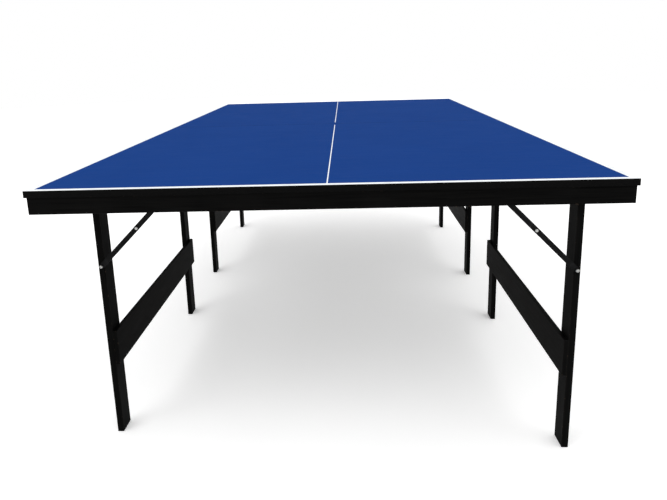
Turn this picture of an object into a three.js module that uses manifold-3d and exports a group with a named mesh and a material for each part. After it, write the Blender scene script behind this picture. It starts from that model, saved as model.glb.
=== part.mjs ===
// A full-size table tennis table made as two equal half tables that stand end to end.
// Each half is a board on a rail frame, with two folding leg frames. A leg frame is two
// timber legs and a stretcher board. It swings inwards on two pivot bolts and is held
// open by a two-link steel brace that is straight when the legs stand.
// Millimetres, +Z up. The origin is on the floor under the middle of the table, and the
// length runs along Y. "left" is -X, "front" is the half at -Y.
import * as THREE from "three";
import { mergeVertices } from "three/addons/utils/BufferGeometryUtils.js";
import Module from "manifold-3d";

const wasm = await Module();
wasm.setup();

// Whole table.
const TABLE_LENGTH = 2740;
const TABLE_WIDTH = 1525;
const TABLE_HEIGHT = 760;
const SEAM_GAP = 1;

// Board and the rail frame under it.
const BOARD_THICKNESS = 18;
const BOARD_OVERHANG = 5;
const RAIL_THICKNESS = 15;
const RAIL_HEIGHT = 45;

// Leg frames.
const LEG_THICKNESS = 18;
const LEG_WIDTH = 58;
const LEG_OUTER_FACE_X = 644;
const LEG_SPAN = 848;
const LEG_TOP_ABOVE_PIVOT = 20;
const STRETCHER_THICKNESS = 12;
const STRETCHER_HEIGHT = 104;
const STRETCHER_BOTTOM = 218;

// Hangers carry the pivot bolts. The link bay is the slot that the brace folds in.
const HANGER_THICKNESS = 20;
const HANGER_INNER_END_X = 385;
const HANGER_TO_LEG_GAP = 5;
const LINK_BAY = 9;
const PIVOT_BELOW_BOARD = 28;

// Braces.
const LEG_BOLT_BELOW_PIVOT = 197;
const BRACE_RISE = 210;
const LINK_THICKNESS = 2.5;
const LINK_HALF_WIDTH = 7;
const LINK_GAP = 0.5;

// Fasteners.
const HOLE_CLEARANCE = 0.3;
const PIVOT_BOLT_RADIUS = 4;
const PIVOT_HEAD_RADIUS = 10;
const PIVOT_HEAD_THICKNESS = 4;
const PIVOT_END_BEYOND_LEG = 7;
const SPACER_RADIUS = 9;
const LEG_BOLT_RADIUS = 2.5;
const LEG_BOLT_HEAD_RADIUS = 4.75;
const LEG_BOLT_DEPTH = 35;
const RIVET_RADIUS = 2.5;
const RIVET_HEAD_RADIUS = 4.2;
const RIVET_HEAD_THICKNESS = 1.7;
const TOP_SCREW_RADIUS = 2.5;
const TOP_SCREW_HEAD_RADIUS = 5;
const TOP_SCREW_HEAD_THICKNESS = 2;
const TOP_SCREW_DEPTH = 10;
const ROUND_SEGMENTS = 16;
const LINK_END_SEGMENTS = 6;
const DRILL_OVERRUN = 1;

// Sizes worked out from the ones above.
const halfLength = (TABLE_LENGTH - SEAM_GAP) / 2;
const boardUnderside = TABLE_HEIGHT - BOARD_THICKNESS;
const railUnderside = boardUnderside - RAIL_HEIGHT;
const railOuterX = TABLE_WIDTH / 2 - BOARD_OVERHANG;
const railInnerX = railOuterX - RAIL_THICKNESS;
const pivotZ = boardUnderside - PIVOT_BELOW_BOARD;
const pivotX = LEG_OUTER_FACE_X - LEG_THICKNESS / 2;
const legInnerX = LEG_OUTER_FACE_X - LEG_THICKNESS;
const endRailInnerY = BOARD_OVERHANG + RAIL_THICKNESS;
const rightLegY = endRailInnerY + LINK_BAY;
const hangerY = rightLegY + LEG_WIDTH + HANGER_TO_LEG_GAP;
const leftLegY = hangerY + HANGER_THICKNESS + LINK_BAY;

// The brace runs up at 45 degrees from the leg bolt and is straight when it is open.
// Its lower link lies level when the leg is folded, and that fixes where the middle
// rivet divides it.
const legBoltZ = pivotZ - LEG_BOLT_BELOW_PIVOT;
const topScrewX = pivotX - BRACE_RISE;
const topScrewZ = legBoltZ + BRACE_RISE;
const braceLength = BRACE_RISE * Math.SQRT2;
const foldedOffset = BRACE_RISE - LEG_BOLT_BELOW_PIVOT;
const lowerLinkLength =
  (braceLength ** 2 - 2 * foldedOffset ** 2) / (2 * (braceLength - foldedOffset));
const upperLinkLength = braceLength - lowerLinkLength;

const blueBoard = new THREE.MeshStandardMaterial({
  color: 0x234488, roughness: 0.6, metalness: 0,
});
const blackTimber = new THREE.MeshStandardMaterial({
  color: 0x121212, roughness: 0.55, metalness: 0,
});
const blackSteel = new THREE.MeshStandardMaterial({
  color: 0x1a1a1c, roughness: 0.45, metalness: 0.6,
});
const zincSteel = new THREE.MeshStandardMaterial({
  color: 0xb9bcc0, roughness: 0.35, metalness: 1,
});

// A geometry as a manifold solid, with its shared corners merged.
function solidFrom(geometry) {
  const bare = geometry.clone();
  bare.deleteAttribute("normal");
  bare.deleteAttribute("uv");
  const merged = mergeVertices(bare);
  return new wasm.Manifold(
    new wasm.Mesh({
      numProp: 3,
      vertProperties: merged.attributes.position.array,
      triVerts: new Uint32Array(merged.index.array),
    }),
  );
}

function geometryFrom(solid) {
  const { vertProperties, triVerts } = solid.getMesh();
  const geometry = new THREE.BufferGeometry();
  geometry.setAttribute("position", new THREE.BufferAttribute(vertProperties, 3));
  geometry.setIndex(new THREE.BufferAttribute(triVerts, 1));
  geometry.computeVertexNormals();
  return geometry;
}

// A rectangular piece of timber between two opposite corners, with round holes along Y.
// A hole is { x, z, fromY, toY, radius }; one that breaks through starts or ends outside.
function timber(name, cornerA, cornerB, material, holes = []) {
  const box = new THREE.Box3().setFromPoints([
    new THREE.Vector3(...cornerA),
    new THREE.Vector3(...cornerB),
  ]);
  const size = box.getSize(new THREE.Vector3());
  const centre = box.getCenter(new THREE.Vector3());
  let geometry = new THREE.BoxGeometry(size.x, size.y, size.z);
  if (holes.length) {
    let solid = solidFrom(geometry);
    for (const hole of holes) {
      const drill = new THREE.CylinderGeometry(
        hole.radius, hole.radius, hole.toY - hole.fromY, ROUND_SEGMENTS,
      );
      drill.translate(
        hole.x - centre.x, (hole.fromY + hole.toY) / 2 - centre.y, hole.z - centre.z,
      );
      solid = solid.subtract(solidFrom(drill));
    }
    geometry = geometryFrom(solid);
  }
  const mesh = new THREE.Mesh(geometry, material);
  mesh.name = name;
  mesh.position.copy(centre);
  return mesh;
}

// A turned fastener along Y. Its steps are [radius, length] from its low end upwards.
function turned(name, steps, material) {
  const profile = [new THREE.Vector2(0, 0)];
  let y = 0;
  for (const [radius, length] of steps) {
    profile.push(new THREE.Vector2(radius, y));
    y += length;
    profile.push(new THREE.Vector2(radius, y));
  }
  profile.push(new THREE.Vector2(0, y));
  const mesh = new THREE.Mesh(new THREE.LatheGeometry(profile, ROUND_SEGMENTS), material);
  mesh.name = name;
  return mesh;
}

// A flat steel link with round ends and a hole at each end. It runs from its first hole
// at the mesh's origin along +X, and its thickness goes towards -Y.
function link(name, length, firstHoleRadius, secondHoleRadius) {
  const outline = new THREE.Shape();
  outline.absarc(0, 0, LINK_HALF_WIDTH, Math.PI / 2, (3 * Math.PI) / 2);
  outline.absarc(length, 0, LINK_HALF_WIDTH, -Math.PI / 2, Math.PI / 2);
  outline.closePath();
  for (const [x, radius] of [[0, firstHoleRadius], [length, secondHoleRadius]]) {
    const hole = new THREE.Path();
    hole.absarc(x, 0, radius, 0, 2 * Math.PI, true);
    outline.holes.push(hole);
  }
  const geometry = new THREE.ExtrudeGeometry(outline, {
    depth: LINK_THICKNESS, bevelEnabled: false, curveSegments: LINK_END_SEGMENTS,
  });
  geometry.rotateX(Math.PI / 2);
  const mesh = new THREE.Mesh(geometry, blackSteel);
  mesh.name = name;
  return mesh;
}

// The rail frame and board of one half, in the half's own frame: y = 0 at its near end.
function boardAndRails(half, topScrewHole) {
  const railTop = boardUnderside;
  const farRailY = halfLength - BOARD_OVERHANG;
  const parts = [
    timber(
      `${half}_playing_board`,
      [-TABLE_WIDTH / 2, 0, boardUnderside],
      [TABLE_WIDTH / 2, halfLength, TABLE_HEIGHT],
      blueBoard,
    ),
    timber(
      `${half}_near_end_rail`,
      [-railOuterX, BOARD_OVERHANG, railUnderside],
      [railOuterX, endRailInnerY, railTop],
      blackTimber,
      [topScrewHole],
    ),
    timber(
      `${half}_far_end_rail`,
      [-railOuterX, farRailY - RAIL_THICKNESS, railUnderside],
      [railOuterX, farRailY, railTop],
      blackTimber,
    ),
  ];
  for (const [side, sign] of [["left", -1], ["right", 1]]) {
    parts.push(
      timber(
        `${half}_${side}_side_rail`,
        [sign * railOuterX, endRailInnerY, railUnderside],
        [sign * railInnerX, farRailY - RAIL_THICKNESS, railTop],
        blackTimber,
      ),
    );
  }
  return parts;
}

// A blind hole for a brace's top screw, drilled towards -Y from a face at faceY.
function topScrewHoleAt(sign, faceY) {
  return {
    x: sign * topScrewX,
    z: topScrewZ,
    fromY: faceY - TOP_SCREW_DEPTH - HOLE_CLEARANCE,
    toY: faceY + HOLE_CLEARANCE,
    radius: TOP_SCREW_RADIUS + HOLE_CLEARANCE,
  };
}

// One leg with the hanger and the pivot bolt that hold it. legY is the leg's near face.
// The right legs stand in front of their hangers and the left legs behind them.
function legWithHanger(half, side, sign, kind, legY, hangerNearY) {
  const name = `${half}_${side}_${kind}_leg`;
  const braced = kind === "braced";
  const hangerFarY = hangerNearY + HANGER_THICKNESS;
  const pivotHole = {
    x: sign * pivotX,
    z: pivotZ,
    radius: PIVOT_BOLT_RADIUS + HOLE_CLEARANCE,
  };
  const through = (nearY, farY) => ({
    ...pivotHole, fromY: nearY - DRILL_OVERRUN, toY: farY + DRILL_OVERRUN,
  });
  const legHoles = [through(legY, legY + LEG_WIDTH)];
  const hangerHoles = [through(hangerNearY, hangerFarY)];
  if (braced) {
    legHoles.push({
      x: sign * pivotX,
      z: legBoltZ,
      fromY: legY - DRILL_OVERRUN,
      toY: legY + LEG_BOLT_DEPTH + HOLE_CLEARANCE,
      radius: LEG_BOLT_RADIUS + HOLE_CLEARANCE,
    });
    if (sign < 0) hangerHoles.push(topScrewHoleAt(sign, hangerFarY));
  }
  const leg = timber(
    name,
    [sign * LEG_OUTER_FACE_X, legY, 0],
    [sign * legInnerX, legY + LEG_WIDTH, pivotZ + LEG_TOP_ABOVE_PIVOT],
    blackTimber,
    legHoles,
  );
  const hanger = timber(
    `${name}_hanger`,
    [sign * railInnerX, hangerNearY, railUnderside],
    [sign * HANGER_INNER_END_X, hangerFarY, boardUnderside],
    blackTimber,
    hangerHoles,
  );
  const gap = sign > 0 ? hangerNearY - legY - LEG_WIDTH : legY - hangerFarY;
  const bolt = turned(
    `${name}_pivot_bolt`,
    [
      [PIVOT_HEAD_RADIUS, PIVOT_HEAD_THICKNESS],
      [PIVOT_BOLT_RADIUS, HANGER_THICKNESS],
      [SPACER_RADIUS, gap - HOLE_CLEARANCE],
      [PIVOT_BOLT_RADIUS, HOLE_CLEARANCE + LEG_WIDTH + PIVOT_END_BEYOND_LEG],
    ],
    zincSteel,
  );
  const headY = sign > 0
    ? hangerFarY + PIVOT_HEAD_THICKNESS
    : hangerNearY - PIVOT_HEAD_THICKNESS;
  bolt.position.set(sign * pivotX, headY, pivotZ);
  if (sign > 0) bolt.rotation.z = Math.PI;
  return [leg, hanger, bolt];
}

// The folding brace of one leg frame, in the link bay in front of the braced leg.
function brace(half, side, sign, legY) {
  const name = `${half}_${side}`;
  const alongBrace = sign > 0 ? (-3 * Math.PI) / 4 : -Math.PI / 4;
  const lowerBack = legY - LINK_GAP;
  const lowerFront = lowerBack - LINK_THICKNESS;
  const upperBack = lowerFront - LINK_GAP;
  const upperFront = upperBack - LINK_THICKNESS;
  const bayFront = legY - LINK_BAY;
  const headFront = bayFront + 2 * LINK_GAP;

  const lower = link(
    `${name}_lower_brace_link`,
    lowerLinkLength,
    LEG_BOLT_RADIUS + HOLE_CLEARANCE,
    RIVET_RADIUS + HOLE_CLEARANCE,
  );
  lower.position.set(sign * pivotX, lowerBack, legBoltZ);
  lower.rotation.y = alongBrace;

  const upper = link(
    `${name}_upper_brace_link`,
    upperLinkLength,
    TOP_SCREW_RADIUS + HOLE_CLEARANCE,
    RIVET_RADIUS + HOLE_CLEARANCE,
  );
  upper.position.set(sign * topScrewX, upperBack, topScrewZ);
  upper.rotation.y = alongBrace + Math.PI;

  const headThickness = lowerFront - LINK_GAP - headFront;
  const legBolt = turned(
    `${name}_brace_leg_bolt`,
    [
      [LEG_BOLT_HEAD_RADIUS, headThickness],
      [LEG_BOLT_RADIUS, legY + LEG_BOLT_DEPTH - headFront - headThickness],
    ],
    zincSteel,
  );
  legBolt.position.set(sign * pivotX, headFront, legBoltZ);

  const rivet = turned(
    `${name}_brace_middle_rivet`,
    [
      [RIVET_HEAD_RADIUS, RIVET_HEAD_THICKNESS],
      [RIVET_RADIUS, upperBack - headFront - RIVET_HEAD_THICKNESS],
    ],
    zincSteel,
  );
  const rivetDistance = lowerLinkLength * Math.SQRT1_2;
  rivet.position.set(
    sign * (pivotX - rivetDistance), headFront, legBoltZ + rivetDistance,
  );

  const topScrew = turned(
    `${name}_brace_top_screw`,
    [
      [TOP_SCREW_RADIUS, TOP_SCREW_DEPTH],
      [TOP_SCREW_HEAD_RADIUS, upperFront - HOLE_CLEARANCE - bayFront],
      [TOP_SCREW_RADIUS, LINK_THICKNESS + 2 * HOLE_CLEARANCE],
      [TOP_SCREW_HEAD_RADIUS, TOP_SCREW_HEAD_THICKNESS],
    ],
    zincSteel,
  );
  topScrew.position.set(sign * topScrewX, bayFront - TOP_SCREW_DEPTH, topScrewZ);
  return [lower, upper, legBolt, rivet, topScrew];
}

// Both legs of one side with their hangers, the stretcher between them and the brace.
function legFrame(half, side, sign, legY) {
  const parts = [
    ...legWithHanger(half, side, sign, "braced", legY, hangerY),
    ...legWithHanger(half, side, sign, "plain", legY + LEG_SPAN, hangerY + LEG_SPAN),
    ...brace(half, side, sign, legY),
  ];
  parts.push(
    timber(
      `${half}_${side}_stretcher`,
      [sign * legInnerX, legY, STRETCHER_BOTTOM],
      [
        sign * (legInnerX - STRETCHER_THICKNESS),
        legY + LEG_SPAN + LEG_WIDTH,
        STRETCHER_BOTTOM + STRETCHER_HEIGHT,
      ],
      blackTimber,
    ),
  );
  return parts;
}

// One half table, with its near end at nearEndY.
function halfTable(half, nearEndY) {
  const group = new THREE.Group();
  group.add(
    ...boardAndRails(half, topScrewHoleAt(1, endRailInnerY)),
    ...legFrame(half, "left", -1, leftLegY),
    ...legFrame(half, "right", 1, rightLegY),
  );
  group.position.y = nearEndY;
  return group;
}

const table = new THREE.Group();
table.add(
  halfTable("front", -TABLE_LENGTH / 2),
  halfTable("rear", SEAM_GAP / 2),
);

export default table;
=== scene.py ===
"""Looks of the table tennis table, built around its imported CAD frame.

The painted timbers stay the CAD's own solids and get rounded edges and paint. The
boards, the brace straps and every fastener are remade here in finer shape, each in the
space of the CAD node that it stands for. Nuts, washers, wood screws and corner brackets
are small pieces of this visual model only. Metres, in the CAD's frame: +Z up, +Y along
the table, "left" is -X and "front" is the half at -Y.
"""

from math import cos, pi, radians, sin, tan

import bmesh
import bpy
from mathutils import Matrix, Vector


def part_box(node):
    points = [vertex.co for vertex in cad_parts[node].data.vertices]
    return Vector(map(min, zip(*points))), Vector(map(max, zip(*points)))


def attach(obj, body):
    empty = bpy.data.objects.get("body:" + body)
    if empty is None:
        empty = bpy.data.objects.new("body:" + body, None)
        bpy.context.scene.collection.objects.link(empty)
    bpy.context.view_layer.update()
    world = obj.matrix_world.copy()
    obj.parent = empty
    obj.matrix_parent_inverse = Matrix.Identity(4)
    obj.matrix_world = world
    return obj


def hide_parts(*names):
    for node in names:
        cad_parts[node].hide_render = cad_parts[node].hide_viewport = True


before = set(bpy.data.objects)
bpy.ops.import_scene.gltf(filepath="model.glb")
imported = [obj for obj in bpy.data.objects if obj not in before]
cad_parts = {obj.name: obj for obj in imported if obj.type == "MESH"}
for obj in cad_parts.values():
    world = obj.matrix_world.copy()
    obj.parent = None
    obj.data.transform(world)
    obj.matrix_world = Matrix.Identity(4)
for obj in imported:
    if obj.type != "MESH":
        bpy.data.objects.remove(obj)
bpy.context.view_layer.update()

MM = 0.001
HALVES = ("front", "rear")
SIDES = (("left", -1), ("right", 1))
KINDS = ("braced", "plain")
TOWARDS_VIEWER = Vector((0, -1, 0))

# Markings of the playing surface.
BORDER_LINE = 20 * MM
CENTRE_LINE = 3 * MM
CENTRE_LINE_STOPS_SHORT = 48 * MM

# Rounded edges: the radius, and how many faces make each rounding.
BOARD_EDGE_RADIUS = 0.8 * MM
BOARD_EDGE_SEGMENTS = 4
TIMBER_EDGE_RADIUS = 1.4 * MM
TIMBER_EDGE_SEGMENTS = 3
STEEL_EDGE_RADIUS = 0.3 * MM
STEEL_EDGE_SEGMENTS = 2
FLAT_ANGLE = radians(1)
SHARP_ANGLE = radians(30)
WELD_DISTANCE = 0.05 * MM

# Steps that draw round stretches.
STEPS_ROUND = 48
STRAP_END_STEPS = 18
HOLE_STEPS = 32
BEND_STEPS = 6
DOME_STEPS = 6
THREAD_STEPS_PER_TURN = 8
FLOOR_STEPS = 96

# Pivot bolts of the legs. Radii of heads come from the CAD nodes' boxes.
PLAY = 0.3 * MM
BOLT_RADIUS = 4 * MM
THREAD_PITCH = 1.25 * MM
THREAD_DEPTH = 0.6 * MM
NUT_HALF_FLATS = 6.5 * MM
NUT_THICKNESS = 4 * MM
NUT_BORE_EASE = 0.4 * MM
NUT_CHAMFER_RADIUS = 0.97 * NUT_HALF_FLATS
NUT_CHAMFER_ANGLE = radians(30)
WASHER_GAP = 0.15 * MM
WASHER_RADIUS = 8.5 * MM
WASHER_THICKNESS = 1.2 * MM
SPACER_RADIUS = 9 * MM
TUBE_EASE = 0.2 * MM

# Braces. A share is of the radius or the height of the fastener's head.
BRACE_SHANK_RADIUS = 2.5 * MM
BRACE_HOLE_RADIUS = BRACE_SHANK_RADIUS + PLAY
STRAP_HALF_WIDTH = 7 * MM
LEG_BOLT_HEAD_GAP = 0.5 * MM
LEG_BOLT_FLAT_SHARE = 0.5
SOCKET_HALF_FLATS_SHARE = 0.32
SOCKET_WALL_SHARE = 0.5
SOCKET_FLOOR_SHARE = 0.4
RIVET_HEAD_HEIGHT = 1.7 * MM
RIVET_RIM_SHARE = 0.2
TOP_SCREW_DEPTH = 10 * MM
TOP_SCREW_FLAT_SHARE = 0.68
CROSS_ARM_SHARE = 0.44
CROSS_HALF_WIDTH_SHARE = 0.12
CROSS_WALL_SHARE = 0.4
CROSS_FLOOR_SHARE = 0.25

# Wood screws. Depths are below the head's flat top.
SCREW_HEAD_RADIUS = 4 * MM
SCREW_SHANK_RADIUS = 1.9 * MM
SCREW_RIM_DEPTH = 0.3 * MM
SCREW_CONE_DEPTH = 2.6 * MM
SCREW_TIP = 4 * MM
SCREW_PROUD = 0.15 * MM
SCREW_CROSS_ARM = 2.2 * MM
SCREW_CROSS_HALF_WIDTH = 0.55 * MM
SCREW_CROSS_WALL_DEPTH = 1.4 * MM
SCREW_CROSS_FLOOR_DEPTH = 1.9 * MM
RAIL_SCREW_LENGTH = 56 * MM
END_RAIL_SCREWS = 5
SIDE_RAIL_SCREWS = 4
HANGER_SCREWS = 2
STRETCHER_SCREW_LENGTH = 28 * MM
STRETCHER_SCREW_HEIGHTS = (0.25, 0.75)

# Corner brackets.
BRACKET_REACH = 26 * MM
BRACKET_THICKNESS = 2 * MM
BRACKET_HEIGHT = 28 * MM
BRACKET_BEND_RADIUS = 1.5 * MM
BRACKET_SCREW_LENGTH = 13 * MM
BRACKET_SCREW_REACH = 0.62 * BRACKET_REACH
BRACKET_SCREW_HEIGHTS = (0.28 * BRACKET_HEIGHT, 0.72 * BRACKET_HEIGHT)

# Timber: grain lines per metre across and along, and how squarely an end must face.
GRAIN_ACROSS = 650.0
GRAIN_ALONG = 7.0
END_GRAIN_STARTS = 0.8
END_GRAIN_FULL = 0.95

# Colour sockets of a Mix node.
MIX_FIRST_COLOUR = 6
MIX_SECOND_COLOUR = 7
MIX_COLOUR_RESULT = 2

# Camera and stage. The shifts are shares of the picture's width.
SENSOR_WIDTH_MM = 36
LENS_MM = 33.37313
CAMERA_SHIFT_X = 0.0092054
CAMERA_SHIFT_Y = -0.071934
CAMERA_PLACE = Vector((0.04989, -2.85870, 1.07359))
CAMERA_YAW = -0.0333
CAMERA_PITCH = 0.2351
CAMERA_ROLL = -0.0278
FLOOR_RADIUS = 14.0
FLOOR_GLOW = 0.34
WORLD_STRENGTH = 1.0
LIGHT_TARGET = (0, 0, 0.5)

# Each lamp's name, place, diameter in metres and power in watts.
LAMPS = (
    ("key_light", (-3.0, -3.4, 4.2), 3.0, 40),
    ("fill_light", (3.4, -2.6, 3.4), 3.0, 15),
    ("back_light", (0.5, 4.0, 4.0), 3.5, 20),
)


# ---------------------------------------------------------------- shader nodes


def new_material(name, specular, metallic=0.0):
    """A material with its Principled shader, whose uniform values are set directly."""
    material = bpy.data.materials.new(name)
    material.use_nodes = True
    shader = material.node_tree.nodes["Principled BSDF"]
    shader.inputs["Specular IOR Level"].default_value = specular
    shader.inputs["Metallic"].default_value = metallic
    return material, material.node_tree, shader


def join(tree, output, socket):
    tree.links.new(output, socket)


def place_coordinates(tree, scale):
    """The row frame's coordinates times scale, which is one number or one for each axis."""
    if isinstance(scale, (int, float)):
        scale = (scale, scale, scale)
    coordinates = tree.nodes.new("ShaderNodeTexCoord")
    mapping = tree.nodes.new("ShaderNodeMapping")
    mapping.inputs["Scale"].default_value = scale
    join(tree, coordinates.outputs["Object"], mapping.inputs["Vector"])
    return mapping.outputs["Vector"]


def noise(tree, scale, detail=3.0, distortion=0.0):
    """Smooth noise of about 0.3 to 0.7, with scale features per metre, as one number or
    one for each axis."""
    texture = tree.nodes.new("ShaderNodeTexNoise")
    texture.inputs["Scale"].default_value = 1.0
    texture.inputs["Detail"].default_value = detail
    texture.inputs["Distortion"].default_value = distortion
    join(tree, place_coordinates(tree, scale), texture.inputs["Vector"])
    return texture.outputs["Fac"]


def cells(tree, scale):
    """A random grey for each cell of a Voronoi pattern."""
    texture = tree.nodes.new("ShaderNodeTexVoronoi")
    texture.inputs["Scale"].default_value = 1.0
    join(tree, place_coordinates(tree, scale), texture.inputs["Vector"])
    return texture.outputs["Color"]


def remap(tree, value, start, end, low, high):
    """value from start..end to low..high, held at the ends."""
    made = tree.nodes.new("ShaderNodeMapRange")
    made.inputs["From Min"].default_value = start
    made.inputs["From Max"].default_value = end
    made.inputs["To Min"].default_value = low
    made.inputs["To Max"].default_value = high
    join(tree, value, made.inputs["Value"])
    return made.outputs["Result"]


def mix_colours(tree, factor, first, second):
    """first where factor is 0 and second where it is 1; each is a colour or an output."""
    made = tree.nodes.new("ShaderNodeMix")
    made.data_type = "RGBA"
    join(tree, factor, made.inputs["Factor"])
    for index, colour in ((MIX_FIRST_COLOUR, first), (MIX_SECOND_COLOUR, second)):
        if isinstance(colour, tuple):
            made.inputs[index].default_value = (*colour, 1.0)
        else:
            join(tree, colour, made.inputs[index])
    return made.outputs[MIX_COLOUR_RESULT]


def arithmetic(tree, operation, first, second):
    """A Math node of two values; each is a number or an output."""
    made = tree.nodes.new("ShaderNodeMath")
    made.operation = operation
    for socket, value in ((made.inputs[0], first), (made.inputs[1], second)):
        if isinstance(value, (int, float)):
            socket.default_value = value
        else:
            join(tree, value, socket)
    return made.outputs[0]


def add_bump(tree, shader, height, depth, strength=1.0):
    """Relief of that depth in metres from a height of 0 to 1."""
    bump = tree.nodes.new("ShaderNodeBump")
    bump.inputs["Strength"].default_value = strength
    bump.inputs["Distance"].default_value = depth
    join(tree, height, bump.inputs["Height"])
    join(tree, bump.outputs["Normal"], shader.inputs["Normal"])


def end_grain_mask(tree, axis):
    """1 on faces that look along the timber's axis, and 0 on the others."""
    coordinates = tree.nodes.new("ShaderNodeTexCoord")
    parts = tree.nodes.new("ShaderNodeSeparateXYZ")
    join(tree, coordinates.outputs["Normal"], parts.inputs[0])
    facing = arithmetic(tree, "ABSOLUTE", parts.outputs[axis], 0.0)
    return remap(tree, facing, END_GRAIN_STARTS, END_GRAIN_FULL, 0.0, 1.0)


# ------------------------------------------------------------------- materials


def blue_playing_paint():
    """Matt blue table paint: roller stipple, faint cloudiness and light scuffs."""
    material, tree, shader = new_material("blue_playing_paint", specular=0.002)
    clouds = noise(tree, 4, detail=4)
    colour = mix_colours(
        tree, remap(tree, clouds, 0.35, 0.65, 0, 1),
        (0.0084, 0.0432, 0.2020), (0.0096, 0.0462, 0.2120),
    )
    stipple = noise(tree, 480, detail=3)
    colour = mix_colours(
        tree, remap(tree, stipple, 0.38, 0.66, 0, 0.45), colour, (0.0130, 0.0560, 0.2420)
    )
    scuffs = noise(tree, (9, 70, 9), detail=6, distortion=1.2)
    colour = mix_colours(
        tree, remap(tree, scuffs, 0.66, 0.80, 0, 0.5), colour, (0.0160, 0.0580, 0.2420)
    )
    join(tree, colour, shader.inputs["Base Color"])
    join(tree, remap(tree, scuffs, 0.35, 0.75, 0.62, 0.80), shader.inputs["Roughness"])
    add_bump(tree, shader, stipple, 0.06 * MM, 0.6)
    return material


def white_line_paint():
    """Opaque white line paint, a little greyer where it is rubbed."""
    material, tree, shader = new_material("white_line_paint", specular=0.15)
    rubbed = noise(tree, 40, detail=6)
    colour = mix_colours(
        tree, remap(tree, rubbed, 0.50, 0.75, 0, 1), (0.88, 0.91, 0.93), (0.75, 0.78, 0.81)
    )
    join(tree, colour, shader.inputs["Base Color"])
    join(tree, remap(tree, rubbed, 0.3, 0.7, 0.45, 0.62), shader.inputs["Roughness"])
    add_bump(tree, shader, noise(tree, 600, detail=2), 0.03 * MM, 0.5)
    return material


def black_edge_paint():
    """Black sealer on the board's edges, over the fine chips of the panel."""
    material, tree, shader = new_material("black_edge_paint", specular=0.022)
    chips = noise(tree, (180, 180, 600), detail=5)
    colour = mix_colours(
        tree, remap(tree, chips, 0.35, 0.68, 0, 1),
        (0.0018, 0.0018, 0.0019), (0.0036, 0.0035, 0.0034),
    )
    join(tree, colour, shader.inputs["Base Color"])
    join(tree, remap(tree, chips, 0.3, 0.7, 0.48, 0.68), shader.inputs["Roughness"])
    add_bump(tree, shader, chips, 0.12 * MM, 0.6)
    return material


def sealed_panel():
    """The board's underside: a wood panel of flat chips under a thin dark sealer."""
    material, tree, shader = new_material("sealed_panel", specular=0.12)
    chips = cells(tree, (170, 260, 90))
    fibres = noise(tree, (60, 420, 60), detail=5)
    colour = mix_colours(tree, chips, (0.0100, 0.0085, 0.0075), (0.0210, 0.0175, 0.0145))
    colour = mix_colours(
        tree, remap(tree, fibres, 0.45, 0.75, 0, 0.6), colour, (0.0060, 0.0052, 0.0048)
    )
    join(tree, colour, shader.inputs["Base Color"])
    join(tree, remap(tree, fibres, 0.3, 0.7, 0.55, 0.78), shader.inputs["Roughness"])
    add_bump(tree, shader, fibres, 0.15 * MM, 0.6)
    return material


def black_timber_paint(axis_name, worn):
    """Black satin paint on timber whose grain runs along one axis.

    The worn kind is for the rounded edges, where the paint is rubbed and chipped."""
    axis = "XYZ".index(axis_name)
    name = f"black_timber_{axis_name}" + ("_worn" if worn else "")
    material, tree, shader = new_material(name, specular=0.006)
    grain_scale = [GRAIN_ACROSS] * 3
    grain_scale[axis] = GRAIN_ALONG
    grain = noise(tree, grain_scale, detail=6, distortion=0.4)
    patches = noise(tree, 9, detail=3)
    ends = end_grain_mask(tree, axis_name)
    end_pores = noise(tree, 520, detail=3)
    relief = mix_colours(tree, ends, grain, end_pores)

    colour = mix_colours(
        tree, remap(tree, grain, 0.32, 0.68, 0, 1),
        (0.0016, 0.0016, 0.0017), (0.0046, 0.0045, 0.0043),
    )
    colour = mix_colours(
        tree, remap(tree, patches, 0.42, 0.70, 0, 0.5), colour, (0.0050, 0.0049, 0.0048)
    )
    roughness = remap(tree, grain, 0.3, 0.7, 0.40, 0.58)
    roughness = arithmetic(tree, "ADD", roughness, arithmetic(tree, "MULTIPLY", ends, 0.2))
    if worn:
        chips = noise(tree, 150, detail=7)
        bare = remap(tree, chips, 0.62, 0.66, 0, 1)
        rubbed = remap(tree, patches, 0.40, 0.62, 0, 0.7)
        colour = mix_colours(tree, rubbed, colour, (0.0085, 0.0082, 0.0080))
        colour = mix_colours(tree, bare, colour, (0.040, 0.028, 0.019))
    join(tree, colour, shader.inputs["Base Color"])
    join(tree, roughness, shader.inputs["Roughness"])
    add_bump(tree, shader, relief, 0.08 * MM, 0.8)
    return material


def black_powder_coat():
    """Black powder coat on steel strap, with its fine orange peel."""
    material, tree, shader = new_material("black_powder_coat", specular=0.06)
    peel = noise(tree, 900, detail=2)
    rubbed = noise(tree, 70, detail=5)
    colour = mix_colours(
        tree, remap(tree, rubbed, 0.45, 0.72, 0, 1), (0.0024, 0.0024, 0.0026),
        (0.0070, 0.0070, 0.0074),
    )
    join(tree, colour, shader.inputs["Base Color"])
    join(tree, remap(tree, rubbed, 0.3, 0.7, 0.36, 0.52), shader.inputs["Roughness"])
    add_bump(tree, shader, peel, 0.05 * MM, 0.6)
    return material


def zinc_plate():
    """Bright zinc plate with fine dark marks and a faint yellow bloom."""
    material, tree, shader = new_material("zinc_plate", specular=0.5, metallic=1.0)
    bloom = noise(tree, 160, detail=3)
    marks = noise(tree, 1800, detail=4)
    colour = mix_colours(
        tree, remap(tree, bloom, 0.35, 0.65, 0, 1), (0.40, 0.41, 0.42), (0.48, 0.47, 0.43)
    )
    colour = mix_colours(
        tree, remap(tree, marks, 0.58, 0.75, 0, 0.6), colour, (0.24, 0.24, 0.25)
    )
    join(tree, colour, shader.inputs["Base Color"])
    join(tree, remap(tree, marks, 0.3, 0.7, 0.26, 0.46), shader.inputs["Roughness"])
    add_bump(tree, shader, marks, 0.02 * MM, 0.5)
    return material


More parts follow.
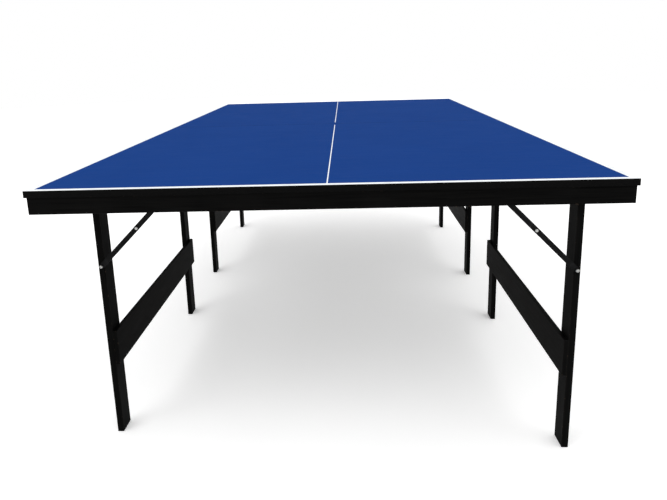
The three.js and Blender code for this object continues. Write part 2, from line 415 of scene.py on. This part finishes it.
def black_screw_finish():
    """Black phosphate on wood screws, rubbed grey on its high spots."""
    material, tree, shader = new_material("black_screw_finish", specular=0.3, metallic=0.5)
    spots = noise(tree, 1100, detail=4)
    colour = mix_colours(
        tree, remap(tree, spots, 0.45, 0.72, 0, 1), (0.010, 0.010, 0.011), (0.040, 0.040, 0.042)
    )
    join(tree, colour, shader.inputs["Base Color"])
    join(tree, remap(tree, spots, 0.3, 0.7, 0.40, 0.60), shader.inputs["Roughness"])
    add_bump(tree, shader, spots, 0.02 * MM, 0.5)
    return material


def pale_floor():
    """Pale studio floor with a barely seen mottle and a glow that lightens shadows."""
    material, tree, shader = new_material("pale_floor", specular=0.1)
    mottle = noise(tree, 2.5, detail=4)
    colour = mix_colours(
        tree, remap(tree, mottle, 0.3, 0.7, 0, 1), (0.93, 0.93, 0.93), (0.95, 0.95, 0.95)
    )
    join(tree, colour, shader.inputs["Base Color"])
    join(tree, remap(tree, mottle, 0.3, 0.7, 0.75, 0.85), shader.inputs["Roughness"])
    shader.inputs["Emission Color"].default_value = (1, 1, 1, 1)
    shader.inputs["Emission Strength"].default_value = FLOOR_GLOW
    return material


BLUE = blue_playing_paint()
WHITE = white_line_paint()
BOARD_EDGE = black_edge_paint()
BOARD_UNDERSIDE = sealed_panel()
TIMBER = {axis: black_timber_paint(axis, worn=False) for axis in "XYZ"}
TIMBER_WORN = {axis: black_timber_paint(axis, worn=True) for axis in "XYZ"}
POWDER_COAT = black_powder_coat()
ZINC = zinc_plate()
SCREW_FINISH = black_screw_finish()


# ------------------------------------------------------------------ mesh tools


def object_from(name, mesh_maker, materials):
    """A new smooth-shaded object from a bmesh, in the scene."""
    mesh = bpy.data.meshes.new(name)
    bmesh.ops.recalc_face_normals(mesh_maker, faces=mesh_maker.faces)
    for face in mesh_maker.faces:
        face.smooth = True
    mesh_maker.to_mesh(mesh)
    mesh_maker.free()
    for material in materials:
        mesh.materials.append(material)
    made = bpy.data.objects.new(name, mesh)
    bpy.context.scene.collection.objects.link(made)
    return made


def round_edges(obj, radius, segments, material_index=-1):
    """Rounds the sharp edges; the rounding can have a material slot of its own."""
    bevel = obj.modifiers.new("rounded_edges", "BEVEL")
    bevel.width = radius
    bevel.segments = segments
    bevel.limit_method = "ANGLE"
    bevel.angle_limit = SHARP_ANGLE
    bevel.use_clamp_overlap = False
    bevel.harden_normals = True
    bevel.material = material_index


def crease_by_angle(obj):
    """Keeps corners sharper than SHARP_ANGLE crisp on a smooth-shaded mesh."""
    obj.data.set_sharp_from_angle(angle=SHARP_ANGLE)


def set_along(obj, origin, axis):
    """Puts the piece's own origin at a point, with its +Z along axis."""
    turn = Vector(axis).to_track_quat("Z", "Y").to_matrix().to_4x4()
    obj.matrix_world = Matrix.Translation(origin) @ turn


def value_at(value, angle):
    """A number as it is, or a function's value at the angle."""
    return value(angle) if callable(value) else value


def turned(name, rings, material, hollow=False):
    """A piece turned about +Z through rings of (radius, height).

    A radius or a height is a number, or a function of the angle for shapes that aren't
    round. A solid piece starts and ends on the axis, at radius 0; the rings of a hollow
    one go round its section, and the last joins the first."""
    maker = bmesh.new()
    rows = []
    for radius, height in rings:
        if radius == 0:
            rows.append([maker.verts.new((0, 0, height))])
            continue
        row = []
        for step in range(STEPS_ROUND):
            angle = 2 * pi * step / STEPS_ROUND
            reach = value_at(radius, angle)
            row.append(maker.verts.new(
                (reach * cos(angle), reach * sin(angle), value_at(height, angle))
            ))
        rows.append(row)
    pairs = list(zip(rows, rows[1:]))
    if hollow:
        pairs.append((rows[-1], rows[0]))
    for lower, upper in pairs:
        for step in range(STEPS_ROUND):
            after = (step + 1) % STEPS_ROUND
            corners = []
            corners += [lower[0]] if len(lower) == 1 else [lower[step], lower[after]]
            corners += [upper[0]] if len(upper) == 1 else [upper[after], upper[step]]
            maker.faces.new(corners)
    made = object_from(name, maker, [material])
    crease_by_angle(made)
    return made


def dome(radius, height, base, flat_radius=0.0):
    """Rings of a domed head, from its rim at base up to a point or a flat top."""
    rings = []
    for step in range(DOME_STEPS + 1):
        angle = pi / 2 * step / DOME_STEPS
        rings.append((
            flat_radius + (radius - flat_radius) * cos(angle), base + height * sin(angle)
        ))
    return rings if flat_radius else rings[:-1] + [(0, base + height)]


def hexagon(half_flats):
    """Radius of a hexagon at an angle."""
    return lambda angle: half_flats / cos((angle % (pi / 3)) - pi / 6)


def cross(arm, half_width):
    """Radius of a cross recess at an angle."""
    def radius(angle):
        folded = angle % (pi / 2)
        folded = min(folded, pi / 2 - folded)
        return arm / cos(folded) if tan(folded) < half_width / arm else half_width / sin(folded)
    return radius


def plate(name, loops, thickness, material):
    """A plate from z = 0 to its thickness. The first loop is its outline, the rest holes."""
    maker = bmesh.new()
    for loop in loops:
        corners = [maker.verts.new((x, y, 0)) for x, y in loop]
        for first, second in zip(corners, corners[1:] + corners[:1]):
            maker.edges.new((first, second))
    bmesh.ops.triangle_fill(
        maker, use_beauty=True, use_dissolve=False, edges=maker.edges[:]
    )
    raised = bmesh.ops.extrude_face_region(maker, geom=maker.faces[:])
    corners = [part for part in raised["geom"] if isinstance(part, bmesh.types.BMVert)]
    bmesh.ops.translate(maker, verts=corners, vec=(0, 0, thickness))
    return object_from(name, maker, [material])


def arc(centre, radius, start, end, steps):
    """Points of an arc, both ends included."""
    points = []
    for step in range(steps + 1):
        angle = start + (end - start) * step / steps
        points.append((centre[0] + radius * cos(angle), centre[1] + radius * sin(angle)))
    return points


def circle(centre, radius):
    """Points of a hole's whole circle."""
    return arc(centre, radius, 0, 2 * pi, HOLE_STEPS)[:-1]


def middle_and_span(node):
    """The middle of a CAD node in X and Z, and its lowest and highest Y."""
    low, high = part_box(node)
    return (low.x + high.x) / 2, (low.z + high.z) / 2, low.y, high.y


def head_radius(node):
    """Radius of a CAD fastener's head, the widest part of the node."""
    low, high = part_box(node)
    return (high.x - low.x) / 2


def finish_piece(piece, body, slot, *replaced):
    """Rides the piece on its body and hides the CAD nodes that it replaces. The slot is not
    used.
    """
    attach(piece, body)
    if replaced:
        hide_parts(*replaced)


# ---------------------------------------------------------------------- boards


def playing_board(half):
    """A board with blue fields and white lines as areas of its top, and dark sides."""
    node = f"{half}_playing_board"
    low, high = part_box(node)
    outwards = -1 if half == "front" else 1
    outer_end, seam_end = (low.y, high.y) if outwards < 0 else (high.y, low.y)
    end_line = outer_end - outwards * BORDER_LINE
    centre_stop = seam_end + outwards * CENTRE_LINE_STOPS_SHORT
    across = [
        low.x, low.x + BORDER_LINE, -CENTRE_LINE / 2, CENTRE_LINE / 2,
        high.x - BORDER_LINE, high.x,
    ]
    along = sorted([outer_end, end_line, centre_stop, seam_end])
    slots = [BLUE, WHITE, BOARD_EDGE, BOARD_UNDERSIDE]
    blue, white, edge, underside = range(len(slots))

    maker = bmesh.new()
    grid = {}
    for z in (low.z, high.z):
        for x in across:
            for y in along:
                grid[x, y, z] = maker.verts.new((x, y, z))

    def area_colour(x, y):
        if abs(x) > high.x - BORDER_LINE or (y - end_line) * outwards > 0:
            return white
        on_centre = abs(x) < CENTRE_LINE / 2
        return white if on_centre and (y - centre_stop) * outwards > 0 else blue

    def add_face(corners, slot_index):
        maker.faces.new([grid[corner] for corner in corners]).material_index = slot_index

    for x0, x1 in zip(across, across[1:]):
        for y0, y1 in zip(along, along[1:]):
            square = [(x0, y0), (x1, y0), (x1, y1), (x0, y1)]
            top_colour = area_colour((x0 + x1) / 2, (y0 + y1) / 2)
            add_face([(x, y, high.z) for x, y in square], top_colour)
            add_face([(x, y, low.z) for x, y in reversed(square)], underside)
        for y in (low.y, high.y):
            add_face([(x0, y, low.z), (x1, y, low.z), (x1, y, high.z), (x0, y, high.z)], edge)
    for y0, y1 in zip(along, along[1:]):
        for x in (low.x, high.x):
            add_face([(x, y0, low.z), (x, y1, low.z), (x, y1, high.z), (x, y0, high.z)], edge)

    board = object_from(f"{half}_board", maker, slots)
    round_edges(board, BOARD_EDGE_RADIUS, BOARD_EDGE_SEGMENTS, material_index=edge)
    finish_piece(board, f"{half}_table_half", "blue_board", node)


# --------------------------------------------------------------------- timbers


def dress_timber(node, axis):
    """Paint, and rounded edges with worn paint, on a timber that stays the CAD's solid."""
    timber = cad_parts[node]
    timber.material_slots[0].material = TIMBER[axis]
    timber.data.materials.append(TIMBER_WORN[axis])
    weld = timber.modifiers.new("joined_corners", "WELD")
    weld.merge_threshold = WELD_DISTANCE
    flat = timber.modifiers.new("whole_faces", "DECIMATE")
    flat.decimate_type = "DISSOLVE"
    flat.angle_limit = FLAT_ANGLE
    round_edges(timber, TIMBER_EDGE_RADIUS, TIMBER_EDGE_SEGMENTS, material_index=1)


def dress_timbers(half):
    """Dresses every timber of a half, each with its grain along its length."""
    for end in ("near", "far"):
        dress_timber(f"{half}_{end}_end_rail", "X")
    for side, _ in SIDES:
        dress_timber(f"{half}_{side}_side_rail", "Y")
        dress_timber(f"{half}_{side}_stretcher", "Y")
        for kind in KINDS:
            dress_timber(f"{half}_{side}_{kind}_leg", "Z")
            dress_timber(f"{half}_{side}_{kind}_leg_hanger", "X")


# --------------------------------------------------------------- brace straps


def strap(node, body):
    """A brace link: flat strap with full round ends, a hole at each end, eased edges.

    Its ends are found from the node's own box: the strap leans at 45 degrees, and its
    box is the length between holes plus a round end on each side."""
    low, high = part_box(node)
    side = -1 if (low.x + high.x) < 0 else 1
    thickness = high.y - low.y
    outer_x, inner_x = (high.x, low.x) if side > 0 else (low.x, high.x)
    end_radius = STRAP_HALF_WIDTH
    lower_end = Vector((outer_x - side * end_radius, high.y, low.z + end_radius))
    upper_end = Vector((inner_x + side * end_radius, high.y, high.z - end_radius))
    length = (upper_end - lower_end).length
    outline = arc((0, 0), STRAP_HALF_WIDTH, pi / 2, 3 * pi / 2, STRAP_END_STEPS)
    outline += arc((length, 0), STRAP_HALF_WIDTH, -pi / 2, pi / 2, STRAP_END_STEPS)
    holes = [circle((end, 0), BRACE_HOLE_RADIUS) for end in (0, length)]
    piece = plate(f"{node}_strap", [outline, *holes], thickness, POWDER_COAT)
    along = (upper_end - lower_end).normalized()
    forwards = TOWARDS_VIEWER
    upwards = forwards.cross(along)
    turn = Matrix((along, upwards, forwards)).transposed().to_4x4()
    piece.matrix_world = Matrix.Translation(lower_end) @ turn
    round_edges(piece, STEEL_EDGE_RADIUS, STEEL_EDGE_SEGMENTS)
    finish_piece(piece, body, "black_steel", node)


# ------------------------------------------------------------------- fasteners


def threaded_end(name, length):
    """A threaded shank end from z = 0, with its thread as real relief."""
    rows = round(length / THREAD_PITCH * THREAD_STEPS_PER_TURN)
    rings = [(0, 0.0)]
    for row in range(rows + 1):
        height = length * row / rows
        fade = min(1.0, (length - height) / THREAD_PITCH)

        def radius(angle, height=height, fade=fade):
            phase = (height / THREAD_PITCH - angle / (2 * pi)) % 1.0
            groove = abs(2 * phase - 1)
            return BOLT_RADIUS - THREAD_DEPTH * (groove * fade + (1 - fade))

        rings.append((radius, height))
    rings.append((0, length))
    return turned(name, rings, ZINC)


def hex_nut(name):
    """A hexagon nut from z = 0 with chamfered corners on both faces."""
    corner = hexagon(NUT_HALF_FLATS)

    def chamfer(angle):
        return (corner(angle) - NUT_CHAMFER_RADIUS) * tan(NUT_CHAMFER_ANGLE)

    rings = [
        (BOLT_RADIUS, 0.0),
        (NUT_CHAMFER_RADIUS, 0.0),
        (corner, chamfer),
        (corner, lambda angle: NUT_THICKNESS - chamfer(angle)),
        (NUT_CHAMFER_RADIUS, NUT_THICKNESS),
        (BOLT_RADIUS + NUT_BORE_EASE, NUT_THICKNESS),
        (BOLT_RADIUS, NUT_THICKNESS - NUT_BORE_EASE),
    ]
    return turned(name, rings, ZINC, hollow=True)


def tube(name, inner, outer, length):
    """A washer or spacer from z = 0, with its outer edges eased."""
    rings = [
        (inner, 0.0), (outer - TUBE_EASE, 0.0), (outer, TUBE_EASE),
        (outer, length - TUBE_EASE), (outer - TUBE_EASE, length), (inner, length),
    ]
    return turned(name, rings, ZINC, hollow=True)


def pivot_bolt(half, side, kind):
    """Coach bolt of a leg, with its spacer, washer and nut."""
    name = f"{half}_{side}_{kind}_leg"
    body = f"{half}_table_half"
    node = f"{name}_pivot_bolt"
    x, z, low_y, high_y = middle_and_span(node)
    _, _, leg_low_y, leg_high_y = middle_and_span(name)
    _, _, hanger_low_y, hanger_high_y = middle_and_span(f"{name}_hanger")
    in_front = leg_low_y < hanger_low_y
    forwards = -1 if in_front else 1
    head_end, tip = (high_y, low_y) if in_front else (low_y, high_y)
    hanger_face = hanger_high_y if in_front else hanger_low_y
    gap_start = hanger_low_y if in_front else hanger_high_y
    leg_near_hanger, leg_away = (
        (leg_high_y, leg_low_y) if in_front else (leg_low_y, leg_high_y)
    )
    direction = Vector((0, forwards, 0))

    head_height = abs(head_end - hanger_face)
    shank = abs(leg_away - hanger_face)
    rings = [(0, -shank), (BOLT_RADIUS, -shank), (BOLT_RADIUS, 0.0)]
    rings += dome(head_radius(node), head_height, 0.0)
    bolt = turned(f"{node}_head_and_shank", rings, ZINC)
    set_along(bolt, Vector((x, hanger_face, z)), -direction)
    finish_piece(bolt, body, "zinc_steel", node)

    gap = abs(leg_near_hanger - gap_start) - PLAY
    spacer = tube(f"{name}_pivot_spacer", BOLT_RADIUS, SPACER_RADIUS, gap)
    set_along(spacer, Vector((x, gap_start, z)), direction)
    finish_piece(spacer, body, "zinc_steel")

    washer = tube(f"{name}_pivot_washer", BOLT_RADIUS, WASHER_RADIUS, WASHER_THICKNESS)
    washer_face = leg_away + forwards * WASHER_GAP
    set_along(washer, Vector((x, washer_face, z)), direction)
    finish_piece(washer, body, "zinc_steel")

    nut = hex_nut(f"{name}_pivot_nut")
    set_along(nut, Vector((x, washer_face + forwards * WASHER_THICKNESS, z)), direction)
    finish_piece(nut, body, "zinc_steel")

    thread = threaded_end(f"{name}_pivot_thread", abs(tip - leg_away))
    set_along(thread, Vector((x, leg_away, z)), direction)
    finish_piece(thread, body, "zinc_steel")


def brace_leg_bolt(half, side):
    """Button-head bolt with a hexagon socket, at the foot of the brace."""
    node = f"{half}_{side}_brace_leg_bolt"
    x, z, low_y, high_y = middle_and_span(node)
    _, _, strap_front, _ = middle_and_span(f"{half}_{side}_lower_brace_link")
    head_back = strap_front - LEG_BOLT_HEAD_GAP
    height = head_back - low_y
    radius = head_radius(node)
    socket = hexagon(SOCKET_HALF_FLATS_SHARE * radius)
    back = head_back - high_y
    rings = [(0, back), (BRACE_SHANK_RADIUS, back), (BRACE_SHANK_RADIUS, 0.0)]
    rings += dome(radius, height, 0.0, flat_radius=LEG_BOLT_FLAT_SHARE * radius)
    rings += [
        (socket, height), (socket, SOCKET_WALL_SHARE * height), (0, SOCKET_FLOOR_SHARE * height),
    ]
    bolt = turned(f"{node}_button_head", rings, ZINC)
    set_along(bolt, Vector((x, head_back, z)), TOWARDS_VIEWER)
    finish_piece(bolt, f"{half}_{side}_leg_frame", "zinc_steel", node)


def brace_rivet(half, side):
    """Domed rivet in the middle of the brace."""
    node = f"{half}_{side}_brace_middle_rivet"
    x, z, low_y, high_y = middle_and_span(node)
    radius = head_radius(node)
    back = RIVET_HEAD_HEIGHT - (high_y - low_y)
    rim = RIVET_RIM_SHARE * RIVET_HEAD_HEIGHT
    rings = [(0, back), (BRACE_SHANK_RADIUS, back), (BRACE_SHANK_RADIUS, 0.0), (radius, 0.0)]
    rings += dome(radius, RIVET_HEAD_HEIGHT - rim, rim)
    rivet = turned(f"{node}_dome", rings, ZINC)
    set_along(rivet, Vector((x, low_y + RIVET_HEAD_HEIGHT, z)), TOWARDS_VIEWER)
    finish_piece(rivet, f"{half}_{side}_upper_link", "zinc_steel", node)


def brace_top_screw(half, side):
    """Pan-head screw with a cross recess at the brace's upper end, and its spacer.

    The screw is driven from behind the link, into the rail or the hanger before it."""
    node = f"{half}_{side}_brace_top_screw"
    x, z, low_y, high_y = middle_and_span(node)
    _, _, strap_front, strap_back = middle_and_span(f"{half}_{side}_upper_brace_link")
    radius = head_radius(node)
    collar_back = strap_front - PLAY
    collar_front = low_y + TOP_SCREW_DEPTH
    head_front = strap_back + PLAY
    height = high_y - head_front
    recess = cross(CROSS_ARM_SHARE * radius, CROSS_HALF_WIDTH_SHARE * radius)
    tip = low_y - head_front
    rings = [(0, tip), (BRACE_SHANK_RADIUS, tip), (BRACE_SHANK_RADIUS, 0.0)]
    rings += dome(radius, height, 0.0, flat_radius=TOP_SCREW_FLAT_SHARE * radius)
    rings += [
        (recess, height), (recess, CROSS_WALL_SHARE * height), (0, CROSS_FLOOR_SHARE * height),
    ]
    screw = turned(f"{node}_pan_head", rings, ZINC)
    set_along(screw, Vector((x, head_front, z)), (0, 1, 0))
    finish_piece(screw, f"{half}_table_half", "zinc_steel", node)

    collar_length = collar_back - collar_front
    collar = tube(f"{half}_{side}_brace_spacer", BRACE_SHANK_RADIUS, radius, collar_length)
    set_along(collar, Vector((x, collar_front, z)), (0, 1, 0))
    finish_piece(collar, f"{half}_table_half", "zinc_steel")


def wood_screw(name, place, outwards, length, body):
    """Countersunk wood screw whose head lies in the surface and faces outwards."""
    recess = cross(SCREW_CROSS_ARM, SCREW_CROSS_HALF_WIDTH)
    rings = [
        (0, -length),
        (SCREW_SHANK_RADIUS, -length + SCREW_TIP),
        (SCREW_SHANK_RADIUS, -SCREW_CONE_DEPTH),
        (SCREW_HEAD_RADIUS, -SCREW_RIM_DEPTH),
        (SCREW_HEAD_RADIUS, 0.0),
        (recess, 0.0),
        (recess, -SCREW_CROSS_WALL_DEPTH),
        (0, -SCREW_CROSS_FLOOR_DEPTH),
    ]
    screw = turned(name, rings, SCREW_FINISH)
    set_along(screw, Vector(place) + Vector(outwards) * SCREW_PROUD, outwards)
    finish_piece(screw, body, "black_steel")


def rail_screws(half):
    """Screws that hold the rails and hangers up to the board, in their undersides."""
    body = f"{half}_table_half"
    down = (0, 0, -1)
    rails = [(f"{half}_{end}_end_rail", END_RAIL_SCREWS) for end in ("near", "far")]
    for side, _ in SIDES:
        rails.append((f"{half}_{side}_side_rail", SIDE_RAIL_SCREWS))
        rails += [(f"{half}_{side}_{kind}_leg_hanger", HANGER_SCREWS) for kind in KINDS]
    for node, count in rails:
        low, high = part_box(node)
        runs_along_x = high.x - low.x > high.y - low.y
        for index in range(count):
            share = (index + 0.5) / count
            x = low.x + (high.x - low.x) * (share if runs_along_x else 0.5)
            y = low.y + (high.y - low.y) * (0.5 if runs_along_x else share)
            name = f"{node}_screw_{index + 1}"
            wood_screw(name, (x, y, low.z), down, RAIL_SCREW_LENGTH, body)


def stretcher_screws(half, side, sign):
    """Two screws from the outer face of each leg into the stretcher."""
    stretcher_low, stretcher_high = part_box(f"{half}_{side}_stretcher")
    height = stretcher_high.z - stretcher_low.z
    for kind in KINDS:
        leg_low, leg_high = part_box(f"{half}_{side}_{kind}_leg")
        outer_x = leg_high.x if sign > 0 else leg_low.x
        middle_y = (leg_low.y + leg_high.y) / 2
        for index, share in enumerate(STRETCHER_SCREW_HEIGHTS):
            wood_screw(
                f"{half}_{side}_{kind}_stretcher_screw_{index + 1}",
                (outer_x, middle_y, stretcher_low.z + share * height), (sign, 0, 0),
                STRETCHER_SCREW_LENGTH, f"{half}_{side}_leg_frame",
            )


def corner_bracket(half, side, sign, end):
    """Steel angle in an inner corner of the rail frame, with two screws in each leg."""
    body = f"{half}_table_half"
    rail_low, rail_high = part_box(f"{half}_{side}_side_rail")
    corner_x = rail_low.x if sign > 0 else rail_high.x
    corner_y, into_y = (rail_low.y, 1) if end == "near" else (rail_high.y, -1)
    bend_middle = BRACKET_THICKNESS + BRACKET_BEND_RADIUS
    outline = [(0, 0), (BRACKET_REACH, 0), (BRACKET_REACH, BRACKET_THICKNESS)]
    outline += arc((bend_middle, bend_middle), BRACKET_BEND_RADIUS, -pi / 2, -pi, BEND_STEPS)
    outline += [(BRACKET_THICKNESS, BRACKET_REACH), (0, BRACKET_REACH)]
    name = f"{half}_{side}_{end}_corner_bracket"
    bracket = plate(name, [outline], BRACKET_HEIGHT, POWDER_COAT)
    bracket.data.transform(Matrix.Diagonal((-sign, into_y, 1, 1)))
    mirrored = sign * into_y > 0
    if mirrored:
        bracket.data.flip_normals()
    bottom = (rail_low.z + rail_high.z) / 2 - BRACKET_HEIGHT / 2
    bracket.matrix_world = Matrix.Translation((corner_x, corner_y, bottom))
    round_edges(bracket, STEEL_EDGE_RADIUS, STEEL_EDGE_SEGMENTS)
    finish_piece(bracket, body, "black_steel")

    for index, rise in enumerate(BRACKET_SCREW_HEIGHTS):
        side_place = (
            corner_x - sign * BRACKET_THICKNESS,
            corner_y + into_y * BRACKET_SCREW_REACH,
            bottom + rise,
        )
        end_place = (
            corner_x - sign * BRACKET_SCREW_REACH,
            corner_y + into_y * BRACKET_THICKNESS,
            bottom + rise,
        )
        for leg, place, outwards in (
            ("side", side_place, (-sign, 0, 0)), ("end", end_place, (0, into_y, 0)),
        ):
            screw_name = f"{name}_{leg}_screw_{index + 1}"
            wood_screw(screw_name, place, outwards, BRACKET_SCREW_LENGTH, body)


# ----------------------------------------------------------------------- stage


def floor():
    """A wide pale disc under the table."""
    maker = bmesh.new()
    bmesh.ops.create_circle(maker, cap_ends=True, segments=FLOOR_STEPS, radius=FLOOR_RADIUS)
    ground = object_from("studio_floor", maker, [pale_floor()])


def area_light(name, place, size, power):
    """A round lamp that looks at the table's middle."""
    light = bpy.data.lights.new(name, "AREA")
    light.shape = "DISK"
    light.size = size
    light.energy = power
    lamp = bpy.data.objects.new(name, light)
    lamp.location = place
    direction = Vector(LIGHT_TARGET) - Vector(place)
    lamp.rotation_euler = direction.to_track_quat("-Z", "Y").to_euler()
    bpy.context.scene.collection.objects.link(lamp)


def studio_light():
    """White surroundings and three large soft lamps."""
    world = bpy.data.worlds.new("white_studio")
    world.use_nodes = True
    background = world.node_tree.nodes["Background"]
    background.inputs["Color"].default_value = (1, 1, 1, 1)
    background.inputs["Strength"].default_value = WORLD_STRENGTH
    bpy.context.scene.world = world
    for lamp in LAMPS:
        area_light(*lamp)
    bpy.context.scene.view_settings.view_transform = "Standard"


def camera():
    """A camera whose optical centre lies off the image's middle, so it has a small shift."""
    ahead = Vector((
        sin(CAMERA_YAW) * cos(CAMERA_PITCH),
        cos(CAMERA_YAW) * cos(CAMERA_PITCH),
        -sin(CAMERA_PITCH),
    ))
    level_right = Vector((cos(CAMERA_YAW), -sin(CAMERA_YAW), 0))
    level_up = level_right.cross(ahead)
    right = cos(CAMERA_ROLL) * level_right + sin(CAMERA_ROLL) * level_up
    upwards = -sin(CAMERA_ROLL) * level_right + cos(CAMERA_ROLL) * level_up
    data = bpy.data.cameras.new("photo_camera")
    data.sensor_width = SENSOR_WIDTH_MM
    data.lens = LENS_MM
    data.shift_x = CAMERA_SHIFT_X
    data.shift_y = CAMERA_SHIFT_Y
    made = bpy.data.objects.new("photo_camera", data)
    turn = Matrix((right, upwards, -ahead)).transposed().to_4x4()
    made.matrix_world = Matrix.Translation(CAMERA_PLACE) @ turn
    bpy.context.scene.collection.objects.link(made)
    bpy.context.scene.camera = made


# ------------------------------------------------------------------------ build

for half in HALVES:
    playing_board(half)
    dress_timbers(half)
    rail_screws(half)
    for side, sign in SIDES:
        for kind in KINDS:
            pivot_bolt(half, side, kind)
        strap(f"{half}_{side}_lower_brace_link", f"{half}_{side}_lower_link")
        strap(f"{half}_{side}_upper_brace_link", f"{half}_{side}_upper_link")
        brace_leg_bolt(half, side)
        brace_rivet(half, side)
        brace_top_screw(half, side)
        stretcher_screws(half, side, sign)
        for end in ("near", "far"):
            corner_bracket(half, side, sign, end)

floor()
studio_light()
camera()
